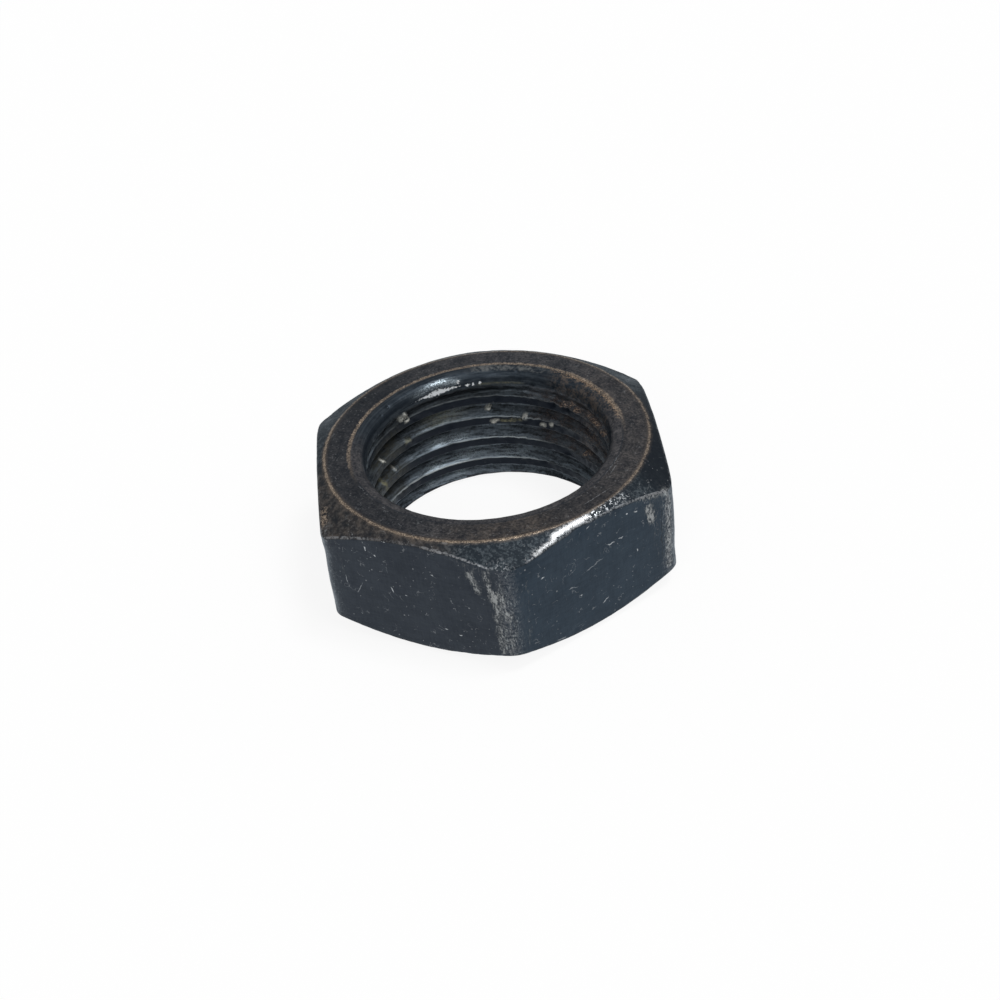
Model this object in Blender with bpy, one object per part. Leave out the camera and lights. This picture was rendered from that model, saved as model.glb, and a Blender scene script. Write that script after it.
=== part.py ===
"""Hexagon thin lock nut, M30 x 3, 38 mm across flats, one solid with its right-hand thread cut in.

Metres. +Z is the thread axis, the lower bearing face lies on Z = 0, and +X goes through a corner of the hexagon.
"""

from math import cos, pi, radians, tan

import bmesh
import bpy
from mathutils import Matrix

# Driving sizes
THREAD_DIAMETER = 0.030
PITCH = 0.003
WALL = 0.004  # least metal between the thread and a flat

# Proportions and angles
CHAMFER_ANGLE = radians(30)
EDGE_SLOPE = radians(45)
FLANK_ANGLE = radians(30)
LEAD_SLOPE = radians(40)
FADE_SLOPE = radians(58)
GROOVE_PHASE = radians(44)
ROUND_STEPS = 96
CORNER_STEPS = 6

# Sizes that follow from the driving ones
HEIGHT = THREAD_DIAMETER / 2
ACROSS_FLATS = THREAD_DIAMETER + 2 * WALL
CIRCUMRADIUS = ACROSS_FLATS / 2 / cos(pi / 6)
CORNER_RADIUS = ACROSS_FLATS / 25
FLAT_RADIUS = 0.954 * ACROSS_FLATS / 2
ENVELOPE_RADIUS = CIRCUMRADIUS + WALL / 4
MINOR_RADIUS = (THREAD_DIAMETER - 1.0825 * PITCH) / 2 + 0.075 * PITCH
ROOT_RADIUS = THREAD_DIAMETER / 2 + 0.05 * PITCH
UPPER_MOUTH_RADIUS = THREAD_DIAMETER / 2 + 0.08 * WALL
LOWER_MOUTH_RADIUS = MINOR_RADIUS + 0.12 * PITCH
LIP_DEPTH = 0.63 * PITCH

# The rounded lip of the upper mouth, down from the face: shares of its width inwards and of its depth
LIP_OUTLINE = [(0.0, 0.0), (0.46, 0.05), (0.74, 0.18), (0.92, 0.43), (1.0, 1.0)]


def clear_scene():
    for obj in list(bpy.data.objects):
        bpy.data.objects.remove(obj)


def add_object(name, bm):
    bmesh.ops.recalc_face_normals(bm, faces=bm.faces)
    mesh = bpy.data.meshes.new(name)
    bm.to_mesh(mesh)
    bm.free()
    obj = bpy.data.objects.new(name, mesh)
    bpy.context.scene.collection.objects.link(obj)
    return obj


def hexagon_bar(name, height):
    """A hexagon bar with its six long edges rounded, as drawn bar is."""
    bm = bmesh.new()
    bmesh.ops.create_circle(bm, segments=6, radius=CIRCUMRADIUS, cap_ends=True)
    base = bm.faces[:]
    # The circle starts at +Y, and a turn of a twelfth brings a corner to +X.
    bmesh.ops.rotate(bm, verts=bm.verts, cent=(0, 0, 0), matrix=turned_by(pi / 6))
    grown = bmesh.ops.extrude_face_region(bm, geom=base)["geom"]
    top = [item for item in grown if isinstance(item, bmesh.types.BMVert)]
    bmesh.ops.translate(bm, verts=top, vec=(0, 0, height))
    upright = [e for e in bm.edges if abs(e.verts[0].co.z - e.verts[1].co.z) > height / 2]
    bmesh.ops.bevel(
        bm,
        geom=upright,
        offset=CORNER_RADIUS * tan(pi / 6),
        offset_type="OFFSET",
        segments=CORNER_STEPS,
        profile=0.5,
        affect="EDGES",
    )
    return add_object(name, bm)


def turned_by(angle):
    return Matrix.Rotation(angle, 3, "Z")


def turned(name, outline):
    """A solid of revolution round Z from (radius, height) points that begin and end on the axis."""
    bm = bmesh.new()
    points = [bm.verts.new((radius, 0, height)) for radius, height in outline]
    edges = [bm.edges.new(pair) for pair in zip(points, points[1:])]
    bmesh.ops.spin(
        bm,
        geom=points + edges,
        cent=(0, 0, 0),
        axis=(0, 0, 1),
        angle=2 * pi,
        steps=ROUND_STEPS,
    )
    bmesh.ops.remove_doubles(bm, verts=bm.verts, dist=1e-6)
    return add_object(name, bm)


def chamfer_envelope(name):
    """The turned shape that leaves the round flat and the 30 degree chamfers on both faces."""
    drop = (ENVELOPE_RADIUS - FLAT_RADIUS) * tan(CHAMFER_ANGLE)
    return turned(
        name,
        [
            (0, 0),
            (FLAT_RADIUS, 0),
            (ENVELOPE_RADIUS, drop),
            (ENVELOPE_RADIUS, HEIGHT - drop),
            (FLAT_RADIUS, HEIGHT),
            (0, HEIGHT),
        ],
    )


def bore_core(name):
    """The drilled hole at the thread's minor diameter: a wide rounded lip above, a broken edge below."""
    past = PITCH
    lip_width = UPPER_MOUTH_RADIUS - MINOR_RADIUS
    lip = [
        (UPPER_MOUTH_RADIUS - inwards * lip_width, HEIGHT - down * LIP_DEPTH)
        for inwards, down in LIP_OUTLINE
    ]
    lower_depth = (LOWER_MOUTH_RADIUS - MINOR_RADIUS) * tan(EDGE_SLOPE)
    return turned(
        name,
        [
            (0, -past),
            (LOWER_MOUTH_RADIUS + past / tan(EDGE_SLOPE), -past),
            (MINOR_RADIUS, lower_depth),
            *reversed(lip),
            (UPPER_MOUTH_RADIUS, HEIGHT + past),
            (0, HEIGHT + past),
        ],
    )


def tap_outline(name):
    """Where the thread is cut: it grows with the tap's lead at the lower mouth and fades out below the lip."""
    reach = ROOT_RADIUS + WALL / 4
    inner = MINOR_RADIUS - PITCH / 20
    top = HEIGHT - LIP_DEPTH + PITCH / 12
    rise = (reach - MINOR_RADIUS) * tan(LEAD_SLOPE)
    fade = (reach - inner) * tan(FADE_SLOPE)
    return turned(name, [(0, 0), (MINOR_RADIUS, 0), (reach, rise), (reach, top - fade), (inner, top), (0, top)])


def groove_half_width(radius):
    return PITCH / 16 + (THREAD_DIAMETER / 2 - radius) * tan(FLANK_ANGLE)


def thread_tool(name):
    """The 60 degree groove of a right-hand thread, swept along its helix past both faces."""
    inner = MINOR_RADIUS - PITCH / 10
    foot = groove_half_width(inner)
    crest = groove_half_width(ROOT_RADIUS)
    start = -1.5 * PITCH
    turns = HEIGHT / PITCH + 3
    steps = round(turns * ROUND_STEPS)
    bm = bmesh.new()
    outline = [(inner, -foot), (ROOT_RADIUS, -crest), (ROOT_RADIUS, crest), (inner, foot)]
    points = [bm.verts.new((radius, 0, start + height)) for radius, height in outline]
    first = bm.faces.new(points)
    bmesh.ops.rotate(bm, verts=points, cent=(0, 0, 0), matrix=turned_by(GROOVE_PHASE + pi))
    edges = list(first.edges)
    swept = bmesh.ops.spin(
        bm,
        geom=points + edges,
        cent=(0, 0, 0),
        axis=(0, 0, 1),
        dvec=(0, 0, PITCH * turns / steps),
        angle=2 * pi * turns,
        steps=steps,
    )
    last = [item for item in swept["geom_last"] if isinstance(item, bmesh.types.BMEdge)]
    bmesh.ops.contextual_create(bm, geom=last)
    return add_object(name, bm)


def cut(target, tool, operation):
    modifier = target.modifiers.new(tool.name, "BOOLEAN")
    modifier.operation = operation
    modifier.solver = "EXACT"
    modifier.object = tool
    tool.hide_render = True
    tool.display_type = "WIRE"


def black_steel():
    material = bpy.data.materials.new("black_oxide_steel")
    material.use_nodes = True
    shader = material.node_tree.nodes["Principled BSDF"]
    shader.inputs["Base Color"].default_value = (0.045, 0.043, 0.045, 1)
    shader.inputs["Metallic"].default_value = 0.8
    shader.inputs["Roughness"].default_value = 0.42
    return material


def build():
    clear_scene()
    nut = hexagon_bar("lock_nut", HEIGHT)
    nut.data.materials.append(black_steel())
    cut(nut, chamfer_envelope("chamfer_envelope"), "INTERSECT")
    cut(nut, bore_core("bore_core"), "DIFFERENCE")
    tap = thread_tool("thread_tool")
    cut(tap, tap_outline("tap_outline"), "INTERSECT")
    cut(nut, tap, "DIFFERENCE")


build()
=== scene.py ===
from math import cos, exp, pi, radians, sin, tan

import bpy
import numpy as np
from mathutils import Matrix, Vector


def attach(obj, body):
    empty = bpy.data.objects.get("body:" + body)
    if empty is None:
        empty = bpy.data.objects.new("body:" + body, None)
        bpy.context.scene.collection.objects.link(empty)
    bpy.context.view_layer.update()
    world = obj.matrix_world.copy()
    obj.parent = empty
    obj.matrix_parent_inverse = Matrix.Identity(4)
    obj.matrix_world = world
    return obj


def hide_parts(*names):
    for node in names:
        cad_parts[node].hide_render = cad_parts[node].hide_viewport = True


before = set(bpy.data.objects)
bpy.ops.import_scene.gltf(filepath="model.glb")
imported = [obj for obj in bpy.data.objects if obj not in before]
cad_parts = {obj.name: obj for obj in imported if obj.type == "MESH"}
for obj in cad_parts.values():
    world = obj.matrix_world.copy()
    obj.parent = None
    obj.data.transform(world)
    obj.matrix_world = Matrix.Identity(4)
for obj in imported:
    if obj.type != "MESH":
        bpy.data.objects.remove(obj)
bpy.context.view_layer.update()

# The nut in millimetres, as the CAD has it
HEIGHT = 15.0
FLAT = 19.0  # half the width across flats
CORNER_ROUND = 1.665
FLAT_RADIUS = 18.126
MINOR = 13.6013
ROOT = 15.15
MAJOR = 15.0
UPPER_MOUTH = 15.32
LOWER_MOUTH = 13.961
LIP_DEPTH = 1.89
LIP_POWER = 2.8
PITCH = 3.0
PHASE = radians(44)
WALL_RADIUS = 14.2  # about the middle of the thread's depth
INSET = 0.99985  # keeps the worn skin inside the solid's box
TAN30 = tan(radians(30))
LEAD = 1 / tan(radians(40))
FADE = 1 / tan(radians(58))
FADE_TOP = 13.1  # where the thread has faded out below the lip

# Where the outer skin hands over to the helical skin of the bore
TOP_SEAM = 14.5
LOW_SEAM = 0.14

CORNER_COLUMNS = 8
FLAT_COLUMNS = 72
# Heights of the rows in one pitch, from the middle of a crest round the groove
ROWS = np.array([-1.5, -1.22, -1.08, -1.0, -0.92, -0.75, -0.55, -0.36, -0.2, -0.1])
ROWS = np.concatenate([ROWS, -ROWS[:0:-1]])


# Geometry

def columns():
    """Angle and radius of every upright line of the hexagon, with its six rounded corners."""
    found = []
    centre = FLAT / cos(pi / 6) - CORNER_ROUND / cos(pi / 6)
    half = FLAT * TAN30 - CORNER_ROUND * TAN30
    for k in range(6):
        corner = k * pi / 3
        for i in range(CORNER_COLUMNS):
            a = radians(-30 + 60 * i / CORNER_COLUMNS)
            x, y = centre + CORNER_ROUND * cos(a), CORNER_ROUND * sin(a)
            found.append((corner + np.arctan2(y, x), np.hypot(x, y)))
        for i in range(FLAT_COLUMNS):
            s = -half + 2 * half * i / FLAT_COLUMNS
            found.append((corner + pi / 6 + np.arctan2(s, FLAT), np.hypot(s, FLAT)))
    return np.array(found)


def spaced(count):
    """Steps from 0 to 1 that are closer together near the ends."""
    t = np.arange(count + 1) / count
    return 0.55 * t + 0.45 * (0.5 - 0.5 * np.cos(pi * t))


# Corners knocked back by a wrench: angle, depth, width round, height and reach of the blow
KNOCKS = [
    (-60.0, 0.62, 1.7, 13.4, 2.6),
    (0.0, 0.10, 1.5, 13.6, 2.4),
    (60.0, 0.14, 1.4, 14.0, 2.0),
    (180.0, 0.14, 1.4, 14.0, 2.0),
    (-120.0, 0.12, 1.2, 10.0, 2.0),
    (-120.0, 0.10, 1.0, 3.5, 1.5),
    (-60.0, 0.10, 1.2, 3.0, 2.0),
    (0.0, 0.04, 1.0, 4.5, 1.5),
]


def knocked(angle, z):
    """How far the outside is knocked back at this angle and height."""
    depth = 0.0
    for middle, deep, wide, height, reach in KNOCKS:
        away = radians((np.degrees(angle) - middle + 180) % 360 - 180) * 21.5
        depth = depth + deep * np.exp(-((away / wide) ** 2) - ((z - height) / reach) ** 2)
    return depth


def lip_radius(z):
    """Radius of the rounded lip of the upper mouth at a height."""
    share = np.clip((HEIGHT - z) / LIP_DEPTH, 0, 1)
    return UPPER_MOUTH - (UPPER_MOUTH - MINOR) * (1 - (1 - share) ** LIP_POWER) ** (1 / LIP_POWER)


def outer_profile(angle, radius):
    """(r, z) down the outside at one angle, from inside the upper lip to the lower mouth."""
    edge = (radius - FLAT_RADIUS) * TAN30
    upper = radius - knocked(angle, HEIGHT - edge)
    corners = [
        (UPPER_MOUTH, HEIGHT),
        (FLAT_RADIUS, HEIGHT),
        (upper, HEIGHT - (upper - FLAT_RADIUS) * TAN30),
        (radius, edge),
        (FLAT_RADIUS, 0.0),
        (LOWER_MOUTH, 0.0),
        (LOWER_MOUTH - LOW_SEAM, LOW_SEAM),
    ]
    trims = [0, 0.24, 0.2, 0.16, 0.16, 0.08, 0]
    arcs = [0, 4, 4, 3, 3, 3, 0]
    lines = [12, 7, 30, 5, 7, 1]
    corners = np.array(corners)
    down = (HEIGHT - TOP_SEAM) * (np.arange(14, 0, -1) / 14) ** 2.2
    rows = [np.array((lip_radius(HEIGHT - d), HEIGHT - d)) for d in down] + [corners[0]]
    for i in range(1, len(corners)):
        before, here = corners[i - 1], corners[i]
        u = (here - before) / np.linalg.norm(here - before)
        start = rows[-1]
        end = here - trims[i] * u
        rows += [start + (end - start) * t for t in spaced(lines[i - 1])[1:]]
        if i == len(corners) - 1:
            break
        after = corners[i + 1]
        v = (after - here) / np.linalg.norm(after - here)
        far = here + trims[i] * v
        for t in np.arange(1, arcs[i] + 1) / arcs[i]:
            rows.append((1 - t) ** 2 * end + 2 * t * (1 - t) * here + t**2 * far)
    rows = np.array(rows)
    # The wall below the chamfer follows the knock, not the straight line between the chamfers.
    top, low = corners[2], corners[3]
    share = np.clip((top[1] - rows[:, 1]) / (top[1] - low[1]), 0, 1)
    straight = top[0] + (low[0] - top[0]) * share
    on_wall = (share > 0) & (share < 1) & (rows[:, 0] > FLAT_RADIUS)
    rows[on_wall, 0] += (radius - knocked(angle, rows[:, 1]) - straight)[on_wall]
    return rows


def waves(points, length, seed, count=28):
    """Smooth noise of about this wavelength in millimetres, mean 0 and spread 1."""
    rng = np.random.default_rng(seed)
    way = rng.normal(size=(count, 3))
    way /= np.linalg.norm(way, axis=1)[:, None]
    way *= (2 * pi / length / rng.uniform(0.7, 1.5, count))[:, None]
    phase = rng.uniform(0, 2 * pi, count)
    return np.cos(points @ way.T + phase).sum(axis=1) * np.sqrt(2 / count)


def smoothstep(low, high, x):
    t = np.clip((x - low) / (high - low), 0, 1)
    return t * t * (3 - 2 * t)


def smooth_min(a, b, k):
    h = np.clip(0.5 + 0.5 * (b - a) / k, 0, 1)
    return b + (a - b) * h - k * h * (1 - h)


def smooth_max(a, b, k):
    return -smooth_min(-a, -b, k)


def at(angle, radius, height):
    """Points from angles in degrees, radii and heights in millimetres."""
    a = np.radians(angle)
    return np.stack(np.broadcast_arrays(radius * np.cos(a), radius * np.sin(a), height), -1)


# Lumps on the wall of the bore: angle, height, half widths round and up, how far they stand
# out, and kind (0 metal, 1 rust, 2 grime).
LUMPS = [
    (161.4, 12.60, 0.62, 0.50, 0.65, 0),
    (159.6, 12.05, 0.42, 0.34, 0.50, 0),
    (115.6, 9.3, 0.34, 0.30, 0.55, 0),
    (112.8, 8.0, 0.55, 0.26, 0.32, 0),
    (108.0, 8.05, 0.60, 0.18, 0.25, 2),
    (103.6, 8.1, 0.45, 0.20, 0.25, 2),
    (100.0, 8.15, 0.55, 0.17, 0.28, 2),
    (97.4, 8.5, 0.35, 0.28, 0.30, 0),
    (87.6, 7.75, 0.40, 0.22, 0.22, 0),
    (83.2, 8.1, 0.28, 0.26, 0.25, 0),
    (160.5, 8.9, 0.50, 0.30, 0.35, 2),
    (74.6, 11.35, 0.50, 0.28, 0.25, 1),
    (71.0, 11.75, 0.45, 0.35, 0.20, 1),
    (66.5, 11.40, 0.60, 0.20, 0.25, 1),
    (59.3, 11.50, 0.40, 0.14, 0.20, 1),
    (52.5, 11.35, 0.95, 0.12, 0.20, 1),
    (44.0, 11.15, 0.70, 0.14, 0.22, 1),
    (64.0, 5.5, 0.9, 0.12, 0.18, 1),
    (-179.0, 9.2, 0.22, 0.24, 0.30, 0),
    (170.8, 6.45, 0.18, 0.20, 0.25, 0),
    (-177.0, 6.2, 0.22, 0.5, 0.20, 2),
]

# Bright ends of the white streak on the lip, a painted highlight: angle, height, and reach along and up
PAINTED_STREAK_DOTS = [
    (128.8, 14.09, 0.24, 0.22),
    (124.2, 13.5, 0.20, 0.20),
    (121.5, 13.5, 0.16, 0.20),
    (118.0, 13.62, 0.16, 0.30),
]
# Glossier patches on the wall of the bore with a painted highlight, a lighter colour for the lamp's
# reflection: angle, height, half widths round and up, strength
PAINTED_SHINES = [
    (148.0, 14.20, 1.1, 0.26, 0.8),
    (141.8, 14.48, 1.2, 0.18, 1.5),
    (136.5, 14.62, 1.2, 0.12, 1.2),
    (135.0, 14.20, 1.3, 0.25, 0.8),
    (130.4, 14.15, 0.45, 0.20, 1.3),
    (134.0, 9.5, 1.7, 0.40, 0.6),
    (140.0, 6.25, 1.2, 0.20, 1.4),
    (131.8, 6.1, 1.0, 0.18, 1.4),
    (146.0, 3.2, 1.5, 0.28, 0.7),
    (127.4, 3.2, 1.8, 0.28, 0.9),
    (106.0, 2.95, 2.2, 0.24, 0.6),
    (132.8, 0.85, 0.8, 0.25, 0.8),
    (150.0, 0.7, 0.9, 0.20, 0.5),
]


def bore_radius(angle, z):
    """Radius of the wall of the bore: the worn thread, its fade below the lip, and the tap's lead."""
    place = at(np.degrees(angle), 14.0, z)
    w = z - PITCH * (angle - PHASE) / (2 * pi)
    w = np.abs((w + PITCH / 2) % PITCH - PITCH / 2)
    flank = MAJOR - (w - PITCH / 16) / TAN30
    groove = smooth_min(flank, np.full_like(flank, ROOT), 0.16)
    groove = smooth_min(groove, MINOR + LEAD * z, 0.1)
    fade = MINOR + 0.05 * waves(place, 1.2, 7) + FADE * np.clip(FADE_TOP - z, -0.2, 9)
    groove = smooth_min(groove, fade, 0.2)
    worn = np.clip(0.5 * waves(place, 2.6, 3) - 0.35, 0, 1) * 0.16
    worn += np.clip(0.6 * waves(place, 0.9, 4) - 0.4, 0, 1) * 0.10
    muddy = np.exp(-(((np.degrees(angle) % 360 - 80) / 30) ** 2))
    worn += muddy * np.clip(0.7 * waves(place, 1.5, 5), 0, 1.2) * 0.16
    wall = smooth_max(groove, MINOR + worn, 0.12)
    lip = lip_radius(z) - 0.02 * np.clip(waves(place, 1.1, 6), 0, 2) * smoothstep(14.4, 14.0, z)
    wall = np.where(z > HEIGHT - LIP_DEPTH, smooth_max(wall, lip, 0.03), wall)
    wall = np.where(z > TOP_SEAM - 0.3, lip, wall)
    wall = np.maximum(wall, LOWER_MOUTH - z)
    return wall


def lip_share(z):
    """1 on the lip, 0 on the thread."""
    return smoothstep(HEIGHT - LIP_DEPTH - 0.1, HEIGHT - LIP_DEPTH + 0.15, z)


def to_place(points, angle, z, wide, tall):
    """Squared distance round and up the bore's wall from a place, in these half widths."""
    here = np.degrees(np.arctan2(points[:, 1], points[:, 0]))
    along = np.radians((here - angle + 180) % 360 - 180) * WALL_RADIUS
    return (along / wide) ** 2 + ((points[:, 2] - z) / tall) ** 2


def lumps_at(points):
    """(how far the lumps stand out, share of each kind) at points of the bore's wall."""
    height = np.zeros(len(points))
    kinds = np.zeros((3, len(points)))
    rough = 1 + 0.42 * waves(points, 0.6, 11)
    for angle, z, wide, tall, out, kind in LUMPS:
        d = to_place(points, angle, z, wide, tall)
        shape = np.clip(1.25 * np.exp(-(d**1.4)) * rough - 0.2, 0, 1)
        height = np.maximum(height, out * shape)
        kinds[kind] = np.maximum(kinds[kind], np.clip(1.6 * shape, 0, 1))
    return height, kinds


def upright(angle, r, z):
    """Points from angles in radians, radii and heights."""
    return np.stack([r * np.cos(angle), r * np.sin(angle), z], 1)


def nut_mesh():
    cols = columns()
    total = len(cols)
    profiles = np.array([outer_profile(a, radius) for a, radius in cols])
    per_col = profiles.shape[1]
    angle = np.repeat(cols[:, 0], per_col)
    r = profiles[:, :, 0].ravel()
    z = profiles[:, :, 1].ravel()
    points = [upright(angle, r, z)]
    outer = np.arange(total * per_col).reshape(total, per_col)
    faces = []
    for j in range(total):
        a, b = outer[j], outer[(j + 1) % total]
        for i in range(per_col - 1):
            faces.append((a[i], a[i + 1], b[i + 1], b[i]))

    # The helical skin of the bore: each row climbs a pitch in a turn, so that it meets the next.
    lowest = -2
    turns = 8
    many = turns * len(ROWS)
    ids = np.empty((total + 1, many), int)
    shift = PITCH * (cols[:, 0] - PHASE) / (2 * pi)
    z = (
        shift[:, None, None]
        + PITCH * (lowest + np.arange(turns))[None, :, None]
        + ROWS[None, None, :]
    ).reshape(total, many)
    angle = np.broadcast_to(cols[:, 0][:, None], z.shape)
    inside = (z > LOW_SEAM + 0.03) & (z < TOP_SEAM - 0.03)
    count = total * per_col
    ids[:total][inside] = count + np.arange(inside.sum())
    top = outer[:, 0][:, None]
    low = outer[:, -1][:, None]
    ids[:total] = np.where(z >= TOP_SEAM - 0.03, top, np.where(z <= LOW_SEAM + 0.03, low, ids[:total]))
    step = len(ROWS)
    ids[total, : many - step] = ids[0, step:]
    ids[total, many - step :] = outer[0, 0]
    wall_angle, wall_z = angle[inside], z[inside]
    wall_r = bore_radius(wall_angle, wall_z)
    out, _ = lumps_at(upright(wall_angle, wall_r, wall_z))
    points.append(upright(wall_angle, wall_r - out, wall_z))
    for j in range(total):
        a, b = ids[j], ids[j + 1]
        for i in range(many - 1):
            ring = [a[i], b[i], b[i + 1], a[i + 1]]
            ring = [v for n, v in enumerate(ring) if v != ring[n - 1]]
            if len(set(ring)) == len(ring) >= 3:
                faces.append(tuple(ring[::-1]))
    return np.concatenate(points), faces, count


def to_segment(points, a, b):
    """Distance of points from a line between two places, and how far along it they are."""
    a, b = np.array(a, float), np.array(b, float)
    t = np.clip((points - a) @ (b - a) / ((b - a) @ (b - a)), 0, 1)
    return np.linalg.norm(points - a - t[:, None] * (b - a), axis=1), t


def on_flat(normal, s, z):
    """A place on the flat that faces this way in degrees, s to its right seen from outside."""
    n = np.array([cos(radians(normal)), sin(radians(normal)), 0])
    t = np.array([-n[1], n[0], 0])
    return FLAT * n + s * t + np.array([0, 0, z])


# Dents in the outer skin: place, radius, depth
DENTS = [
    (at(60.0, 20.9, 14.2), 2.0, 0.16),
    (at(180.0, 20.9, 14.2), 2.0, 0.12),
    (at(-36.0, 19.5, 14.25), 0.75, 0.22),
    (at(-33.8, 19.9, 14.0), 0.55, 0.18),
    (at(-88.0, 18.9, 14.6), 0.45, 0.10),
    (at(-112.0, 18.15, 15.0), 0.5, 0.06),
    (on_flat(-90, -5.7, 13.1), 0.4, 0.05),
    (on_flat(-90, 6.9, 11.2), 0.9, 0.07),
    (on_flat(-30, 7.3, 11.6), 0.8, 0.09),
    (at(0.0, 21.5, 12.8), 1.0, 0.10),
    (at(0.0, 21.5, 4.5), 1.0, 0.08),
    (at(-120.0, 21.4, 10.5), 0.8, 0.08),
    (at(118.0, 21.4, 8.0), 1.1, 0.10),
]


def worn(points, normals, outside):
    """The points moved inwards by wear, handling marks and dents."""
    depth = 0.010 * np.clip(waves(points, 2.2, 21) + 0.4, 0, 3)
    depth += 0.006 * np.clip(waves(points, 0.8, 22), 0, 3)
    nicks = np.clip(waves(points, 0.9, 23) - 1.9, 0, 1.2)
    z_side = np.abs(points[:, 2] - HEIGHT / 2)
    on_edge = smoothstep(HEIGHT / 2 - 2.8, HEIGHT / 2 - 0.4, z_side)
    depth += nicks * (0.03 + 0.10 * on_edge)
    for place, radius, deep in DENTS:
        d = np.linalg.norm(points - place, axis=1) / radius
        depth += deep * np.exp(-(d**2)) * (1 + 0.15 * waves(points, 0.7, 24))
    depth = np.clip(depth, 0, 0.6)
    return points - normals * (depth * outside)[:, None]


def in_bore(points, count):
    """1 at points of the bore and its upper lip, 0 outside; count points come before the bore's."""
    lip = (np.hypot(points[:, 0], points[:, 1]) < UPPER_MOUTH - 0.07) & (points[:, 2] > HEIGHT / 2)
    return (lip | (np.arange(len(points)) >= count)).astype(float)


def areas(points, outside):
    """Ring, chamfer and side shares of the outside, and the reach towards the nearest flat."""
    x, y, z = points.T
    r = np.hypot(x, y)
    angle = np.degrees(np.arctan2(y, x))
    up = np.abs(z - HEIGHT / 2) + HEIGHT / 2  # both faces read as the upper one
    flat_way = np.radians(np.floor(angle / 60) * 60 + 30)
    to_flat = x * np.cos(flat_way) + y * np.sin(flat_way)
    on_face = smoothstep(HEIGHT - 0.3, HEIGHT - 0.1, up)
    ring = smoothstep(FLAT_RADIUS + 0.15, FLAT_RADIUS - 0.15, r) * on_face * outside
    cone_depth = (r - FLAT_RADIUS) * TAN30 - (HEIGHT - up)
    chamfer = outside * (1 - ring) * smoothstep(-0.12, 0.02, cone_depth + 0.1)
    side = outside * (1 - ring) * (1 - chamfer)
    return ring, chamfer, side, to_flat


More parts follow.
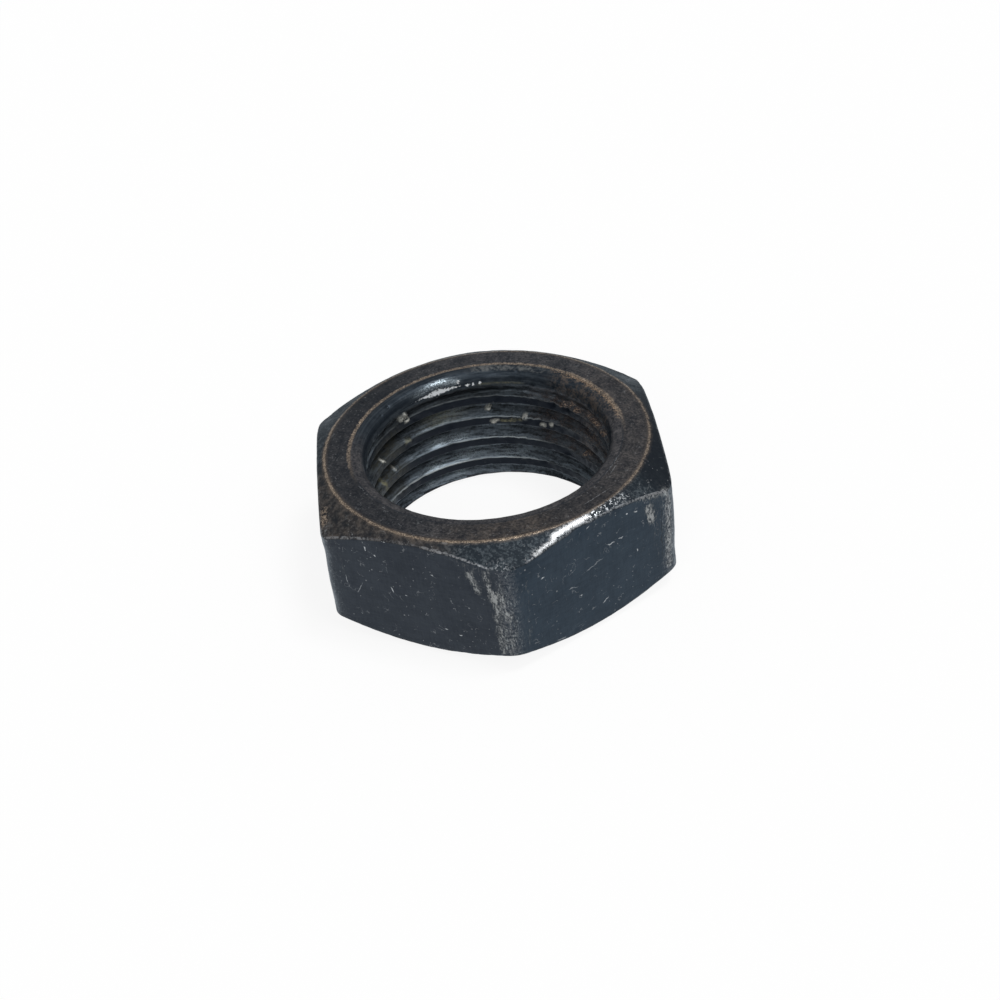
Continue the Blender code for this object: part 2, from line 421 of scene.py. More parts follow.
def paint(mesh, count):
    """Float attributes that the material reads as masks, each worked out from a point's place."""
    points = np.empty(len(mesh.vertices) * 3)
    mesh.vertices.foreach_get("co", points)
    points = points.reshape(-1, 3) * 1000
    bore = in_bore(points, count)
    outside = 1 - bore
    ring, chamfer, side, to_flat = areas(points, outside)
    x, y, z = points.T
    angle = np.degrees(np.arctan2(y, x))

    def sector(middle, half, soft=8.0):
        away = np.abs((angle - middle + 180) % 360 - 180)
        return smoothstep(half + soft, half, away)

    def spot(place, radius):
        return np.exp(-((np.linalg.norm(points - place, axis=1) / radius) ** 2))

    def band(a, b, width):
        d, _ = to_segment(points, a, b)
        return np.exp(-((d / width) ** 2)) * outside

    def strip(normal, s0, z0, s1, z1, width):
        return band(on_flat(normal, s0, z0), on_flat(normal, s1, z1), width)

    corner_away = np.radians((angle + 30) % 60 - 30) * 21.6
    found = dict(ring=ring, chamfer=chamfer, to_flat=to_flat)
    found["blue"] = side * sector(-30, 26, 8) + 0.6 * chamfer * sector(-20, 50, 15)
    found["copper"] = 0.6 + 0.5 * sector(-110, 45, 30) - 0.25 * sector(-30, 14, 6)
    found["rim"] = sector(124, 70, 38)
    found["wide"] = sector(57, 17, 14)
    found["arc"] = 0.2 + 0.6 * sector(-70, 14, 12) + 0.35 * sector(-20, 16, 8)
    found["arc"] += 0.8 * sector(-4, 6, 5) + 0.7 * sector(-114, 7, 3)

    # Grey smears where wrenches slipped, most of all beside the front corner
    scuff = 1.1 * strip(-90, 6.5, 12.4, 7.1, 10.2, 0.55) + strip(-90, 8.2, 12.4, 8.8, 9.6, 0.55)
    scuff += strip(-90, 9.1, 9.8, 9.3, 2.4, 0.65) + 0.8 * strip(-90, 9.6, 11.9, 10.4, 7.5, 0.45)
    scuff += 0.7 * strip(-90, 10.4, 7.5, 10.4, 1.8, 0.5) + 0.5 * strip(-90, 4.4, 13.7, 9.8, 13.0, 0.45)
    scuff += 0.35 * strip(-90, -9.2, 12.6, -8.8, 7.2, 0.4)
    scuff += 0.25 * strip(-90, -8.6, 8.4, -7.2, 2.6, 0.3)
    scuff += 0.5 * strip(-30, -8.8, 12.9, -9.2, 3.0, 0.32)
    scuff += 0.45 * strip(-30, -10.5, 12.6, -10.7, 2.0, 0.5)
    scuff += 1.1 * strip(-30, 10.1, 13.0, 9.9, 3.0, 0.7) + 1.7 * strip(-30, 7.3, 12.2, 7.6, 10.4, 0.45)
    scuff += 0.5 * strip(-30, 8.2, 13.0, 8.3, 5.0, 0.4) + 0.9 * strip(-30, 6.2, 13.7, 9.6, 13.1, 0.4)
    found["copper_corner"] = band(at(-127.4, 19.9, 13.95), at(-123.4, 20.7, 13.5), 0.34)
    for k in (60, 120, 180):
        scuff += 0.6 * np.exp(-(((corner_away - 1.5) / 0.7) ** 2)) * side * sector(k, 8, 3)
    found["scuff"] = scuff
    found["corner"] = 0.6 * np.exp(-((corner_away / 0.8) ** 2)) * side
    found["corner"] += 0.5 * strip(-90, 9.9, 12.5, 10.2, 2.0, 0.7)
    found["corner"] += 0.9 * strip(-30, 10.0, 12.8, 10.0, 2.0, 0.8)
    found["corner"] += band(at(-121.0, 20.9, 13.4), at(-119.9, 21.4, 12.6), 0.5)

    # Painted highlight where the key lamp mirrors in the chamfer, and painted sparkle beside it
    painted_gleam = 0.8 * band(at(-51.5, 20.1, 13.85), at(-45.0, 19.3, 14.3), 0.34)
    painted_gleam += band(at(-44.0, 18.9, 14.5), at(-31.0, 18.45, 14.8), 0.42)
    found["painted_gleam"] = painted_gleam * chamfer
    painted_spark = band(at(-31.0, 18.5, 14.8), at(-15.0, 18.8, 14.6), 0.50)
    painted_spark += 0.6 * spot(at(-62, 20.9, 13.5), 0.8)
    found["painted_spark"] = painted_spark * chamfer
    found["brown"] = ring * (0.1 + 0.35 * sector(0, 55, 30) + 0.5 * sector(-62, 14, 14))
    found["brown"] += chamfer * sector(-112, 26, 14)
    # Darker in parts of the ring, and painted shade on the chamfer round 22 degrees where the key lamp
    # lights it
    found["dim"] = ring * (0.9 * sector(-150, 45, 25) + 0.4 * sector(150, 20, 20))
    found["dim"] += 0.4 * ring * sector(-30, 10, 10) + 1.8 * chamfer * sector(22, 22, 8)

    # The thread by the height from the middle of its groove
    w = z - PITCH * (np.radians(angle) - PHASE) / (2 * pi)
    w = (w + PITCH / 2) % PITCH - PITCH / 2
    threaded = bore * (1 - lip_share(z))
    found["fold"] = np.abs(w)
    found["upper"] = (w < 0) * threaded
    found["threaded"] = threaded
    found["cone"] = bore - threaded
    found["worn_edge"] = sector(78, 22, 14) * threaded
    # Painted highlight along the crests' upper edges, strongest low round 158 degrees and round 112
    # degrees
    bright = 0.8 * sector(158, 18, 14) * smoothstep(4.5, 3.5, z)
    bright += 0.4 * sector(112, 16, 12) * smoothstep(9, 8, z)
    found["line"] = (0.12 + bright) * smoothstep(0.9, 1.6, z)
    # Painted light and shade on the flanks: lighter colour where the lamps reach them little, darker
    # towards the top round 142 degrees where the key lamp lights them
    near = np.interp(z, [1, 3.5, 6.3, 9.3, 11.5], [1.9, 2.2, 2.0, 1.3, 0.35])
    far = np.interp(z, [1, 3, 6, 9, 12], [2.2, 1.9, 1.4, 1.3, 1.4])
    found["wall"] = far + (near - far) * sector(142, 26, 26)
    found["warm"] = bore * sector(58, 26, 18) * smoothstep(2.0, 7.0, z)

    # Painted highlights: glossier patches coloured light where they mirror the light, and the white
    # streak on the lip
    found["painted_shine"] = bore * sum(
        strength * np.exp(-to_place(points, *place)) for *place, strength in PAINTED_SHINES
    )
    tall = 0.12 + 0.36 * np.exp(-(((angle - 140) / 6) ** 2))
    painted_streak = 1.15 * np.exp(-(((angle - 140) / 15) ** 4) - ((z - 13.58) / tall) ** 2)
    for place in PAINTED_STREAK_DOTS:
        painted_streak += 1.5 * np.exp(-to_place(points, *place))
    found["painted_streak"] = bore * painted_streak
    found["ringed"] = bore * sector(-60, 88, 25) * smoothstep(14.2, 14.75, z)
    found["dusty"] = bore * sector(104, 14, 8) * smoothstep(14.7, 14.85, z)
    found["olive"] = bore * sector(178, 9, 9) * smoothstep(2, 4, z) * smoothstep(12.5, 11, z)

    _, kinds = lumps_at(points)
    found["metal"], rust, grime = kinds * bore
    rusty = spot(at(55.0, 14.2, 9.8), 1.6) + spot(at(60.0, 13.9, 6.8), 1.2)
    found["rust"] = rust + 0.35 * bore * rusty
    grime += 0.7 * bore * sector(-178.0, 0.6, 1.2) * smoothstep(2.5, 3.5, z) * smoothstep(7.5, 6.5, z)
    grime += 0.6 * bore * sector(108, 9, 4) * np.exp(-(((z - 13.42) / 0.12) ** 2))
    smear = np.exp(-to_place(points, 138.0, 9.5, 2.4, 0.6))
    grime += 0.5 * threaded * smoothstep(-1.0, -0.9, w) * smear
    found["grime"] = grime
    for name, value in found.items():
        layer = mesh.attributes.new(name, "FLOAT", "POINT")
        value = value if name == "to_flat" else np.clip(value, 0, 2)
        layer.data.foreach_set("value", value.astype(np.float32))


def new_object(name, mesh):
    obj = bpy.data.objects.new(name, mesh)
    bpy.context.scene.collection.objects.link(obj)
    return obj


def build_nut():
    points, faces, count = nut_mesh()
    mesh = bpy.data.meshes.new("nut_body")
    mesh.from_pydata((points * 0.001).tolist(), [], faces)
    mesh.update()
    normals = np.empty(len(points) * 3)
    mesh.vertices.foreach_get("normal", normals)
    normals = normals.reshape(-1, 3)
    outside = (np.arange(len(points)) < count).astype(float)
    moved = worn(points, normals, outside)
    moved[:, 2] = np.clip(moved[:, 2], 0, HEIGHT)
    moved[:, :2] *= INSET
    mesh.vertices.foreach_set("co", (moved * 0.001).ravel())
    mesh.update()
    mesh.shade_smooth()
    paint(mesh, count)
    mesh.materials.append(outside_material())
    mesh.materials.append(bore_material())
    bore = in_bore(moved, count)
    inner = np.array([len(p.vertices) == 3 or all(bore[list(p.vertices)]) for p in mesh.polygons])
    mesh.polygons.foreach_set("material_index", inner.astype(np.int32))
    return new_object("nut_body", mesh)


# Material

class Nodes:
    """Short calls for the node trees."""

    def __init__(self, tree):
        self.tree = tree

    def new(self, kind, inputs=None, **settings):
        node = self.tree.nodes.new(kind)
        for name, value in settings.items():
            setattr(node, name, value)
        for name, value in (inputs or {}).items():
            self.put(node.inputs[name], value)
        return node

    def put(self, socket, value):
        if isinstance(value, bpy.types.NodeSocket):
            self.tree.links.new(value, socket)
        elif isinstance(value, (tuple, list)) and len(value) == 3 and len(socket.default_value) == 4:
            socket.default_value = (*value, 1)
        else:
            socket.default_value = value

    def math(self, operation, a, b=0.0, clamp=False):
        node = self.new("ShaderNodeMath", {0: a, 1: b}, operation=operation, use_clamp=clamp)
        return node.outputs[0]

    def mul(self, a, b):
        return self.math("MULTIPLY", a, b)

    def add(self, a, b):
        return self.math("ADD", a, b)

    def less(self, a, b):
        return self.math("SUBTRACT", a, b)

    def larger(self, a, b):
        return self.math("MAXIMUM", a, b)

    def most(self, *values):
        """The largest of the values, and 1 at most."""
        found = values[0]
        for value in values[1:]:
            found = self.larger(found, value)
        return self.math("MINIMUM", found, 1.0)

    def step(self, value, low, high, to_low=0.0, to_high=1.0):
        node = self.new(
            "ShaderNodeMapRange",
            {"Value": value, "From Min": low, "From Max": high, "To Min": to_low, "To Max": to_high},
            interpolation_type="SMOOTHSTEP",
        )
        return node.outputs["Result"]

    def mix(self, factor, a, b):
        node = self.new("ShaderNodeMix", data_type="RGBA")
        self.put(node.inputs[0], factor)
        self.put(node.inputs[6], a)
        self.put(node.inputs[7], b)
        return node.outputs[2]

    def lerp(self, factor, a, b):
        node = self.new("ShaderNodeMix", data_type="FLOAT")
        self.put(node.inputs[0], factor)
        self.put(node.inputs[2], a)
        self.put(node.inputs[3], b)
        return node.outputs[0]

    def mask(self, name):
        return self.new("ShaderNodeAttribute", attribute_name=name).outputs["Fac"]

    def noise(self, where, scale, detail=3.0, rough=0.55):
        node = self.new(
            "ShaderNodeTexNoise",
            {"Vector": where, "Scale": scale, "Detail": detail, "Roughness": rough},
        )
        return node.outputs["Fac"]

    def stretched(self, where, turn, scale):
        node = self.new(
            "ShaderNodeMapping",
            {"Vector": where, "Rotation": tuple(map(radians, turn)), "Scale": scale},
        )
        return node.outputs["Vector"]

    def scaled(self, where, factor):
        node = self.new("ShaderNodeVectorMath", {0: where, "Scale": factor}, operation="SCALE")
        return node.outputs[0]

    def shaken(self, where):
        """The same place with a small shift, which keeps marks from running straight."""
        one = self.noise(where, 1.6, 2.0)
        two = self.noise(where, 1.9, 2.0)
        shift = self.new("ShaderNodeCombineXYZ", {"X": one, "Y": one, "Z": two}).outputs[0]
        shift = self.new("ShaderNodeVectorMath", {0: shift, 1: (-0.5, -0.5, -0.5)}).outputs[0]
        shift = self.scaled(shift, 0.5)
        return self.new("ShaderNodeVectorMath", {0: where, 1: shift}).outputs[0]

    def lying(self, a, b):
        """The length of a line from its two parts."""
        return self.math("SQRT", self.add(self.mul(a, a), self.mul(b, b)))

    def specks(self, where, scale, size, share, seed):
        """Small round dots in a share of the cells of a random pattern."""
        moved = self.new("ShaderNodeVectorMath", {0: where, 1: (seed, seed * 1.7, -seed)}).outputs[0]
        cells = self.new("ShaderNodeTexVoronoi", {"Vector": moved, "Scale": scale, "Randomness": 1.0})
        dot = self.step(cells.outputs["Distance"], size, size * 0.35)
        pick = self.new("ShaderNodeSeparateColor", {"Color": cells.outputs["Color"]})
        return self.mul(dot, self.step(pick.outputs[0], 1 - share, 1 - share * 0.4))


class Oxide(Nodes):
    """The oxide steel in the making: its colour so far, and the places and noises its areas share."""

    def __init__(self, name):
        self.material = bpy.data.materials.new(name)
        self.material.use_nodes = True
        super().__init__(self.material.node_tree)
        place = self.new("ShaderNodeTexCoord").outputs["Object"]
        self.mm = self.scaled(place, 1000.0)
        self.x, self.y, self.z = self.new("ShaderNodeSeparateXYZ", {"Vector": self.mm}).outputs
        self.r = self.lying(self.x, self.y)
        self.mid = self.noise(self.mm, 1.1, 5.0, 0.6)
        self.fine = self.noise(self.mm, 3.6, 3.0, 0.65)
        self.grain = self.noise(self.mm, 7.5, 2.0, 0.6)
        self.turned = self.noise(self.turned_place(), 1.0, 4.0, 0.65)
        self.wobble = self.less(self.lerp(0.35, self.mid, self.fine), 0.5)
        self.ragged = self.step(self.fine, 0.38, 0.60)
        self.colour = None

    def turned_place(self):
        """Coordinates whose pattern runs round the axis, as a lathe's marks do."""
        parts = {"X": self.mul(self.r, 4.0), "Y": self.mul(self.z, 4.0), "Z": self.mul(self.x, 0.35)}
        return self.new("ShaderNodeCombineXYZ", parts).outputs[0]

    def over(self, factor, tone):
        """Lays a tone over the colour so far."""
        self.colour = self.mix(factor, self.colour, tone)

    def patchy(self, low, high, least=0.0, share=0.5):
        """From this least amount to 1 in soft patches."""
        return self.step(self.lerp(share, self.mid, self.fine), low, high, least, 1.0)

    def dust(self):
        """Light specks, and thin curled lines along the level lines of a noise."""
        wide = self.specks(self.mm, 1.0, 0.13, 0.30, 3.1)
        small = self.specks(self.mm, 2.3, 0.20, 0.16, 7.7)
        dots = self.larger(wide, small)
        curl = self.noise(self.mm, 0.9, 2.0, 0.5)
        curl = self.math("ABSOLUTE", self.less(curl, 0.5))
        some = self.step(self.noise(self.mm, 0.8, 2.0, 0.6), 0.56, 0.64)
        curl = self.mul(self.step(curl, 0.014, 0.004), some)
        return self.larger(dots, self.mul(curl, 0.6))

    def rim_copper(self):
        """Copper-brown worn into the edge between the upper face and the lip."""
        deep = self.less(UPPER_MOUTH, self.r)
        rim = self.step(self.math("ABSOLUTE", self.add(deep, self.mul(self.wobble, 0.5))), 0.30, 0.08)
        rim = self.mul(self.mul(rim, self.mask("rim")), self.patchy(0.38, 0.6, 0.25))
        spread = self.mul(self.step(deep, 1.0, 0.15), self.step(deep, -0.30, 0.0))
        spread = self.mul(spread, self.mask("wide"))
        uneven = self.add(self.lerp(0.65, self.mid, self.fine), self.mul(spread, 0.12))
        spread = self.mul(spread, self.step(uneven, 0.50, 0.66))
        return self.mul(self.larger(rim, spread), self.step(self.z, 13.2, 13.6))

    def lay_copper(self, copper, dark, light):
        self.over(copper, self.mix(self.step(self.grain, 0.42, 0.64), dark, light))

    def face_tone(self, brown):
        """The grainy grey of the turned faces, in part brown."""
        specked = self.add(self.mul(self.fine, 0.50), self.mul(self.mid, 0.34))
        specked = self.add(self.mul(self.turned, 0.16), specked)
        specked = self.step(specked, 0.38, 0.68)
        grey = self.mix(specked, (0.020, 0.022, 0.028), (0.108, 0.105, 0.110))
        return self.mix(brown, grey, self.mix(specked, (0.028, 0.024, 0.024), (0.135, 0.115, 0.100)))

    def finish(self, metallic, rough, relief, specular):
        """Joins the shader; the relief is in millimetres."""
        shader = self.tree.nodes["Principled BSDF"]
        shader.inputs["Specular IOR Level"].default_value = specular
        shader.inputs["Specular Tint"].default_value = (0.80, 0.91, 1.0, 1.0)
        self.put(shader.inputs["Base Color"], self.colour)
        self.put(shader.inputs["Metallic"], metallic)
        self.put(shader.inputs["Roughness"], rough)
        height = self.mul(relief, 0.001)
        bump = self.new("ShaderNodeBump", {"Height": height, "Strength": 1.0, "Distance": 1.0})
        self.put(shader.inputs["Normal"], bump.outputs["Normal"])
        return self.material


# Marks on the flats: the way the flat faces, s and z of both ends, half width
BRIGHT_MARKS = [
    (-90, -5.8, 13.7, -5.6, 12.2, 0.09),
    (-90, -4.6, 12.1, -4.5, 12.0, 0.12),
    (-90, 1.9, 11.0, 2.2, 11.0, 0.09),
    (-90, -3.2, 8.2, -3.0, 7.3, 0.08),
    (-90, -1.6, 7.4, -1.4, 7.3, 0.09),
    (-90, 2.6, 3.8, 2.9, 3.8, 0.11),
    (-90, 4.3, 3.4, 4.5, 3.4, 0.13),
    (-90, 0.9, 4.3, 1.1, 4.2, 0.08),
    (-90, -3.6, 14.2, -3.0, 14.2, 0.06),
    (-90, 9.5, 13.9, 10.6, 13.6, 0.14),
    (-30, 4.3, 13.0, 4.5, 12.9, 0.11),
    (-30, 5.5, 12.6, 5.8, 12.5, 0.11),
    (-30, 5.4, 7.6, 5.5, 7.3, 0.10),
    (-30, -7.0, 10.6, -6.8, 10.7, 0.10),
    (-30, -2.3, 5.6, -2.1, 5.7, 0.09),
    (-30, 1.7, 10.2, 2.6, 10.2, 0.09),
    (-30, 2.6, 10.4, 4.4, 10.0, 0.05),
    (-30, 1.3, 3.4, 0.5, 2.8, 0.08),
    (-30, -2.1, 14.3, -1.2, 13.6, 0.06),
    (-30, -1.2, 13.6, -0.4, 14.0, 0.06),
]
DARK_MARKS = [
    (-30, 9.1, 12.8, 8.9, 3.4, 0.10),
    (-30, 10.4, 12.0, 10.3, 8.0, 0.12),
]
FAINT_MARKS = [
    (-90, -8.7, 8.5, -8.6, 7.0, 0.08),
    (-90, -7.9, 5.5, -6.6, 8.1, 0.06),
    (-90, -7.7, 3.7, -7.1, 2.5, 0.07),
    (-90, 3.5, 9.0, 4.4, 6.4, 0.07),
    (-30, -2.1, 8.2, 1.2, 9.0, 0.07),
    (-30, -3.9, 7.4, -2.4, 6.9, 0.06),
    (-30, -5.9, 1.4, -4.7, 1.1, 0.12),
]
# Marks on the upper face: angle and radius of both ends, half width
RING_MARKS = [
    (-109, 15.9, -106, 15.7, 0.08),
    (-113, 15.8, -108, 15.4, 0.07),
    (-99, 16.7, -96, 17.2, 0.06),
    (-132, 15.5, -118, 15.4, 0.06),
    (-12, 15.8, 2, 15.7, 0.06),
    (-11, 15.4, 8, 15.4, 0.07),
    (-30, 16.9, -14, 17.1, 0.07),
    (-80, 18.3, -78, 18.3, 0.16),
]


def marks_mask(n, where, marks):
    """1 in a long thin ellipsoid round each mark, 0 outside them all."""
    nearest = None
    for first, last, half in marks:
        first, last = Vector(first), Vector(last)
        middle, way = (first + last) / 2, last - first
        node = n.new(
            "ShaderNodeMapping",
            {
                "Vector": where,
                "Location": middle,
                "Rotation": way.to_track_quat("X", "Z").to_euler(),
                "Scale": (way.length / 2 + half, half, half),
            },
            vector_type="TEXTURE",
        )
        reach = n.new("ShaderNodeVectorMath", {0: node.outputs[0]}, operation="LENGTH").outputs["Value"]
        nearest = reach if nearest is None else n.math("MINIMUM", nearest, reach)
    return n.step(nearest, 1.0, 0.45)


def flat_marks(marks):
    return [(on_flat(way, s0, z0), on_flat(way, s1, z1), half) for way, s0, z0, s1, z1, half in marks]


def ring_marks():
    found = []
    for a0, r0, a1, r1, half in RING_MARKS:
        ends = [(a, r, HEIGHT - max(0, r - FLAT_RADIUS) * TAN30) for a, r in ((a0, r0), (a1, r1))]
        found.append((*[at(*end) for end in ends], half))
    return found


def outside_colours(n, ring, chamfer, brown):
    """Slate sides with faint polishing lines, grainy turned faces and mottled chamfers."""
    lay = n.noise(n.stretched(n.mm, (0, 0, 0), (0.5, 0.5, 5.0)), 1.0, 3.0, 0.6)
    rise = n.noise(n.stretched(n.mm, (0, 0, 0), (4.0, 4.0, 0.6)), 1.0, 3.0, 0.6)
    broad = n.noise(n.mm, 0.25, 4.0)
    tone = n.add(n.mul(n.add(lay, rise), 0.22), n.mul(n.add(broad, n.mid), 0.28))
    tone = n.step(tone, 0.38, 0.62)
    n.colour = n.mix(tone, (0.014, 0.018, 0.026), (0.026, 0.032, 0.042))
    n.over(n.mask("blue"), n.mix(tone, (0.013, 0.022, 0.034), (0.023, 0.036, 0.052)))

    n.over(ring, n.face_tone(brown))

    blotch = n.lerp(0.45, n.fine, n.mid)
    mottled = n.mix(n.step(blotch, 0.46, 0.62), (0.012, 0.017, 0.023), (0.058, 0.070, 0.080))
    warm = n.mix(n.step(blotch, 0.36, 0.66), (0.027, 0.024, 0.024), (0.098, 0.085, 0.076))
    n.over(chamfer, n.mix(brown, mottled, warm))
    # Darkening from the dim mask, on the chamfer a painted shade
    n.over(n.mul(n.mask("dim"), 0.5), (0.008, 0.011, 0.016))


def outside_material():
    """The six flats, both faces and their chamfers."""
    n = Oxide("worn_black_oxide")
    up = n.add(n.math("ABSOLUTE", n.less(n.z, HEIGHT / 2)), HEIGHT / 2)
    ring, chamfer = n.mask("ring"), n.mask("chamfer")
    brown = n.mul(n.mask("brown"), n.step(n.mid, 0.25, 0.7, 0.35, 1.0))
    outside_colours(n, ring, chamfer, brown)

    # Dust, and the cuts and scratches of use
    dense = n.larger(n.specks(n.mm, 1.9, 0.24, 0.5, 11.3), n.specks(n.mm, 3.3, 0.3, 0.3, 5.9))
    dust = n.larger(n.dust(), n.mul(n.mul(dense, ring), 0.55))
    n.over(n.mul(dust, 0.55), (0.30, 0.31, 0.32))
    shaken = n.shaken(n.mm)
    cut = n.mul(marks_mask(n, shaken, flat_marks(BRIGHT_MARKS)), n.step(n.grain, 0.25, 0.5, 0.5, 1.0))
    faint = marks_mask(n, shaken, flat_marks(FAINT_MARKS) + ring_marks())
    cut = n.larger(cut, n.mul(faint, 0.40))
    n.over(cut, (0.42, 0.44, 0.46))

    # Grey smears: a dull body with bright flecks along its strokes, and speckled corners
    streaks = n.noise(n.stretched(n.mm, (6, 8, 0), (3.0, 3.0, 0.9)), 1.0, 5.0, 0.70)
    flecks = n.noise(n.stretched(n.mm, (10, 12, 0), (5.0, 5.0, 2.0)), 1.0, 3.0, 0.7)
    scuff = n.mask("scuff")
    strength = n.less(scuff, 0.6)
    body = n.mul(scuff, n.step(n.add(streaks, n.mul(strength, 0.22)), 0.46, 0.56))
    broken = n.step(n.lerp(0.5, n.grain, flecks), 0.34, 0.56, 0.35, 1.0)
    body = n.mul(n.math("MINIMUM", body, 0.8), broken)
    n.over(body, n.mix(n.step(n.fine, 0.42, 0.58), (0.030, 0.035, 0.041), (0.130, 0.136, 0.138)))
    fleck = n.mul(n.mul(scuff, body), n.step(n.add(flecks, n.mul(strength, 0.12)), 0.53, 0.64))
    n.over(n.math("MINIMUM", fleck, 0.8), (0.32, 0.33, 0.33))
    torn = n.mul(n.mask("corner"), n.step(n.lerp(0.25, flecks, n.grain), 0.54, 0.64))
    n.over(n.math("MINIMUM", n.mul(torn, 0.8), 0.9), (0.27, 0.30, 0.31))
    n.over(n.mul(marks_mask(n, n.shaken(n.mm), flat_marks(DARK_MARKS)), 0.85), (0.012, 0.014, 0.018))

    # Edges worn bare: steel along the chamfers' curves and corners, copper round the faces
    below_cone = n.mul(n.less(n.r, FLAT_RADIUS), TAN30)
    depth = n.less(below_cone, n.less(HEIGHT, up))
    arc = n.step(n.math("ABSOLUTE", n.add(depth, n.mul(n.wobble, 0.12))), 0.13, 0.03)
    arc = n.mul(arc, n.step(n.mask("to_flat"), 18.72, 18.86))
    arc = n.mul(n.mul(arc, n.mask("arc")), n.patchy(0.42, 0.56, 0.05, 0.7))
    bare = n.larger(arc, n.mul(n.mul(n.mask("corner"), 0.20), n.ragged))
    n.over(n.mul(bare, 0.85), (0.36, 0.37, 0.39))
    off = n.less(n.r, n.add(FLAT_RADIUS - 0.05, n.mul(n.wobble, 0.45)))
    off = n.lying(off, n.less(up, HEIGHT))
    worn = n.mul(n.mask("copper"), n.patchy(0.34, 0.56, 0.2))
    n.over(n.mul(worn, n.step(off, 0.55, 0.10, 0.0, 0.7)), (0.105, 0.085, 0.070))
    line = n.mul(n.step(off, 0.22, 0.06), n.mul(worn, n.step(n.grain, 0.30, 0.52, 0.4, 1.0)))
    copper = n.larger(line, n.rim_copper())
    copper = n.larger(copper, n.mul(n.mask("copper_corner"), n.step(n.fine, 0.42, 0.56)))
    n.lay_copper(copper, (0.22, 0.17, 0.13), (0.72, 0.58, 0.45))

    # Painted highlight on the lit stretch of the chamfer, with painted granular sparkle beside it
    painted_gleam = n.mask("painted_gleam")
    painted_gleam = n.mul(painted_gleam, n.step(n.add(n.fine, n.mul(painted_gleam, 0.30)), 0.52, 0.68, 0.10, 1.0))
    n.over(n.most(painted_gleam), (0.30, 0.305, 0.31))
    painted_spark = n.mul(n.mask("painted_spark"), n.step(n.noise(n.mm, 4.2, 1.0, 0.5), 0.52, 0.62))
    n.over(n.most(painted_spark), (0.40, 0.42, 0.44))

    # Bare edges and the painted highlights turn more metallic and glossier
    bare_and_highlit = n.most(copper, bare, painted_gleam, painted_spark)
    dull = n.larger(n.mul(body, 0.8), chamfer)
    rough = n.lerp(dull, n.step(n.mid, 0.3, 0.7, 0.30, 0.46), 0.58)
    relief = n.add(n.mul(n.fine, 0.014), n.mul(n.grain, 0.007))
    relief = n.add(relief, n.mul(n.mul(n.turned, ring), 0.02))
    relief = n.add(relief, n.mul(n.mul(n.grain, chamfer), 0.012))
    return n.finish(n.lerp(bare_and_highlit, 0.55, 0.85), n.lerp(bare_and_highlit, rough, 0.26), relief, 0.3)


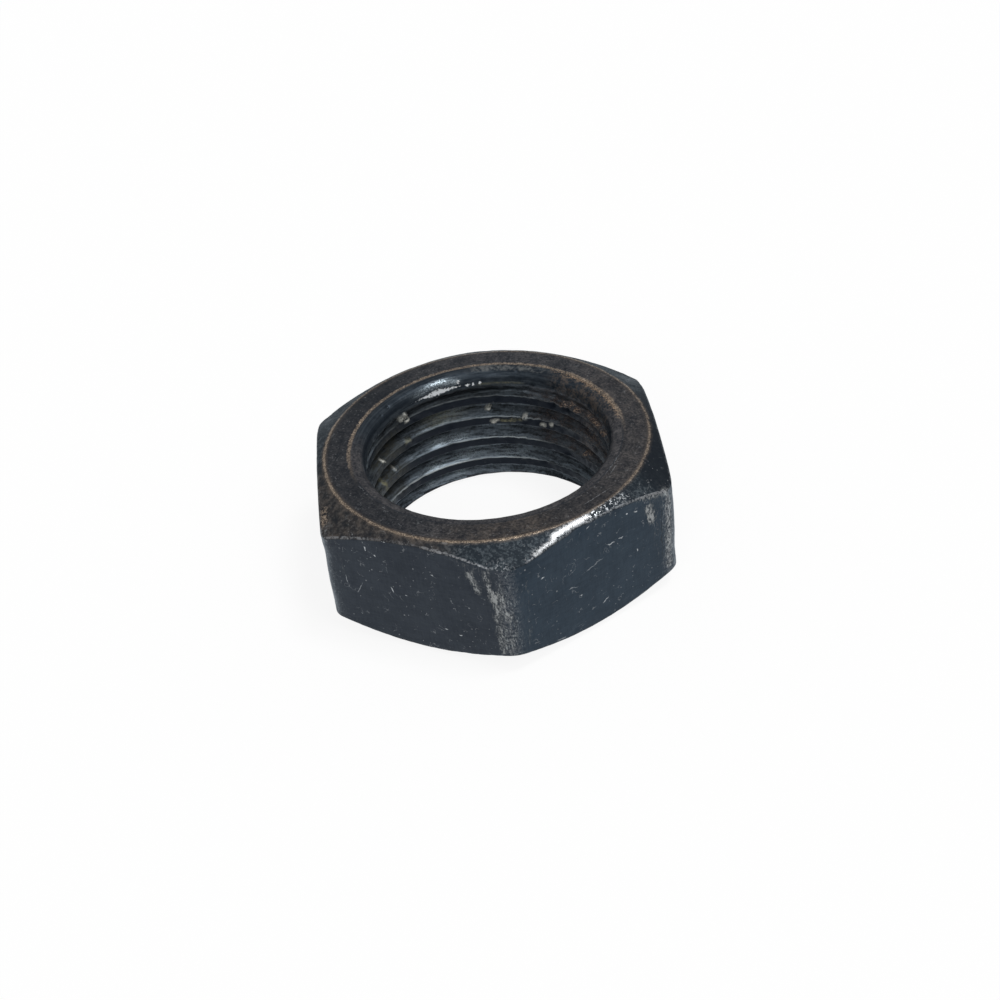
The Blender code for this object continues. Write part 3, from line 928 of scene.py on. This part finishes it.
def bore_material():
    """The thread and its upper lip, with what sticks to them."""
    n = Oxide("worn_black_oxide_bore")
    worn_edge = n.mul(n.mask("worn_edge"), 0.55)
    fold = n.add(n.mask("fold"), n.mul(n.wobble, worn_edge))
    threaded = n.mask("threaded")

    # Flanks with lines drawn along them, in painted light and shade, crests painted near-black for
    # their dark reflection, and the turned lip
    along = {
        "X": n.mul(fold, 6.0),
        "Y": n.add(n.mul(n.x, 0.45), n.mul(n.z, 0.8)),
        "Z": n.mul(n.y, 0.45),
    }
    drawn = n.noise(n.new("ShaderNodeCombineXYZ", along).outputs[0], 1.0, 3.0, 0.6)
    drawn = n.lerp(0.30, drawn, n.fine)
    # Flank colour scaled by the wall mask, which paints light and shade
    flank = n.mul(n.step(drawn, 0.36, 0.66, 0.014, 0.092), n.mask("wall"))
    tints = {"Red": n.mul(flank, 0.78), "Green": n.mul(flank, 0.95), "Blue": n.mul(flank, 1.12)}
    n.colour = n.new("ShaderNodeCombineColor", tints).outputs[0]
    speckled = n.mix(n.step(n.grain, 0.5, 0.62), (0.028, 0.024, 0.027), (0.110, 0.082, 0.066))
    n.over(n.mul(n.mask("warm"), n.step(n.mid, 0.35, 0.7, 0.2, 0.8)), speckled)
    # Crests painted near-black as the dark reflection they show
    n.over(n.mul(threaded, n.step(fold, 1.00, 1.06)), (0.009, 0.012, 0.018))
    tone = n.step(n.lerp(0.25, n.turned, n.mid), 0.40, 0.64)
    n.over(n.less(1.0, threaded), n.mix(tone, (0.014, 0.019, 0.026), (0.036, 0.045, 0.055)))
    n.over(n.mul(n.mul(n.mask("wide"), n.mask("cone")), n.patchy(0.42, 0.64)), (0.092, 0.076, 0.066))
    n.over(n.mul(n.mask("dusty"), n.patchy(0.42, 0.60)), (0.105, 0.110, 0.112))
    n.over(n.mul(n.mask("olive"), n.patchy(0.36, 0.62, 0.1)), (0.036, 0.036, 0.030))
    n.over(n.mul(n.dust(), 0.08), (0.30, 0.31, 0.32))
    n.over(n.mask("ringed"), n.face_tone(0.15))
    copper = n.rim_copper()
    n.lay_copper(copper, (0.20, 0.145, 0.10), (0.68, 0.50, 0.36))

    # Painted highlights: light along the crests' upper edges, and glossy patches coloured light
    line = n.mul(n.step(n.math("ABSOLUTE", n.less(fold, 1.0)), 0.11, 0.03), n.mask("upper"))
    line = n.mul(n.mul(line, n.mask("line")), n.step(n.mid, 0.30, 0.52, 0.15, 1.0))
    n.over(line, (0.30, 0.33, 0.34))
    painted_shine = n.mul(n.mask("painted_shine"), n.step(n.lerp(0.5, drawn, n.grain), 0.44, 0.56, 0.1, 1.0))
    painted_shine = n.most(painted_shine)
    n.over(painted_shine, (0.34, 0.40, 0.44))

    # Lumps of metal with the white streak on them, the streak a painted highlight; rust and grime
    n.over(n.most(n.mul(n.mask("metal"), n.lerp(n.ragged, 0.5, 1.0))), (0.46, 0.46, 0.42))
    # The white streak, painted as a highlight
    painted_streak = n.add(n.mask("painted_streak"), n.mul(n.less(n.lerp(0.45, n.fine, n.grain), 0.5), 3.6))
    painted_streak = n.mul(n.step(painted_streak, 0.62, 0.80), n.step(n.mask("painted_streak"), 0.02, 0.2))
    n.over(painted_streak, (0.72, 0.75, 0.77))
    rust = n.mul(n.mask("rust"), n.lerp(n.ragged, 0.3, 1.0))
    rusty = n.mix(n.step(n.grain, 0.50, 0.57), (0.055, 0.038, 0.033), (0.42, 0.31, 0.23))
    n.over(n.most(rust), rusty)
    grime = n.mul(n.mask("grime"), n.lerp(n.ragged, 0.3, 1.0))
    n.over(n.most(grime), (0.16, 0.155, 0.10))

    dirt = n.most(rust, grime)
    metallic = n.lerp(n.mul(dirt, 0.8), n.lerp(n.most(copper, painted_shine), 0.35, 0.85), 0.05)
    rough = n.lerp(n.mul(dirt, 0.8), n.step(n.mid, 0.3, 0.7, 0.30, 0.46), 0.62)
    relief = n.add(n.mul(n.fine, 0.014), n.add(n.mul(n.grain, 0.007), n.mul(drawn, 0.03)))
    return n.finish(metallic, n.lerp(n.most(copper, painted_shine), rough, 0.24), relief, 0.12)


# Stage

def white_for_seeing(tree, output, lit, share):
    """Joins a lit shader with this share of plain white for the rays that look at the stage."""
    n = Nodes(tree)
    path = n.new("ShaderNodeLightPath")
    seen = n.larger(path.outputs["Is Camera Ray"], path.outputs["Is Glossy Ray"])
    seen = n.larger(seen, path.outputs["Is Transmission Ray"])
    glow = n.new("ShaderNodeEmission", {"Color": (1.0, 1.0, 1.0), "Strength": 1.0})
    mixed = n.new("ShaderNodeMixShader")
    n.put(mixed.inputs[0], n.mul(seen, share))
    n.put(mixed.inputs[1], lit)
    n.put(mixed.inputs[2], glow.outputs[0])
    tree.links.new(mixed.outputs[0], output.inputs["Surface"])


def build_floor():
    mesh = bpy.data.meshes.new("floor")
    half, level = 3.0, -0.0002
    signs = [(-1, -1), (1, -1), (1, 1), (-1, 1)]
    mesh.from_pydata([(half * i, half * j, level) for i, j in signs], [], [(0, 1, 2, 3)])
    floor = new_object("floor", mesh)
    material = bpy.data.materials.new("white_floor")
    material.use_nodes = True
    tree = material.node_tree
    shader = tree.nodes["Principled BSDF"]
    shader.inputs["Base Color"].default_value = (0.88, 0.88, 0.88, 1)
    shader.inputs["Roughness"].default_value = 0.9
    shader.inputs["Specular IOR Level"].default_value = 0.0
    white_for_seeing(tree, tree.nodes["Material Output"], shader.outputs[0], share=0.88)
    mesh.materials.append(material)


def build_world():
    world = bpy.data.worlds.new("studio")
    bpy.context.scene.world = world
    world.use_nodes = True
    tree = world.node_tree
    n = Nodes(tree)
    background = tree.nodes["Background"]
    path = n.new("ShaderNodeLightPath")
    n.put(background.inputs["Color"], (1.0, 1.0, 1.0))
    n.put(background.inputs["Strength"], n.lerp(path.outputs["Is Camera Ray"], 0.33, 1.0))


def add_sun(name, azimuth, elevation, spread, energy):
    """A soft lamp far away: a round patch of light this many degrees across."""
    lamp = bpy.data.lights.new(name, "SUN")
    lamp.angle = radians(spread)
    lamp.energy = energy
    obj = new_object(name, lamp)
    a, e = radians(azimuth), radians(elevation)
    way = Vector((cos(a) * cos(e), sin(a) * cos(e), sin(e)))
    obj.location = way * 0.4
    obj.rotation_euler = way.to_track_quat("Z", "Y").to_euler()


def build_camera():
    azimuth, elevation, roll = map(radians, (28.5695, 36.779, -7.1287))
    distance = exp(1.591) * 2 * FLAT / 1000
    focal_pixels = exp(7.4043)
    back = Vector((sin(azimuth) * cos(elevation), -cos(azimuth) * cos(elevation), sin(elevation)))
    right = Vector((cos(azimuth), sin(azimuth), 0))
    up = back.cross(right)
    x = right * cos(roll) + up * sin(roll)
    y = up * cos(roll) - right * sin(roll)
    camera = bpy.data.cameras.new("camera")
    sensor, picture = 36, 1000
    camera.sensor_width = sensor
    camera.lens = focal_pixels * sensor / picture
    camera.shift_x, camera.shift_y = 0.0074953, -0.0074205
    camera.clip_start = 0.001
    obj = new_object("camera", camera)
    turn = Matrix((x, y, back)).transposed().to_4x4()
    turn.translation = back * distance + Vector((0, 0, HEIGHT / 2000))
    obj.matrix_world = turn
    bpy.context.scene.camera = obj


nut = build_nut()
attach(nut, "root")
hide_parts("lock_nut")
build_floor()
build_world()
add_sun("key", 22, 70, 18, 1.3)
add_sun("side", -22, 50, 24, 0.7)
add_sun("front", -75, 33, 30, 1.1)
build_camera()
bpy.context.scene.view_settings.view_transform = "Standard"
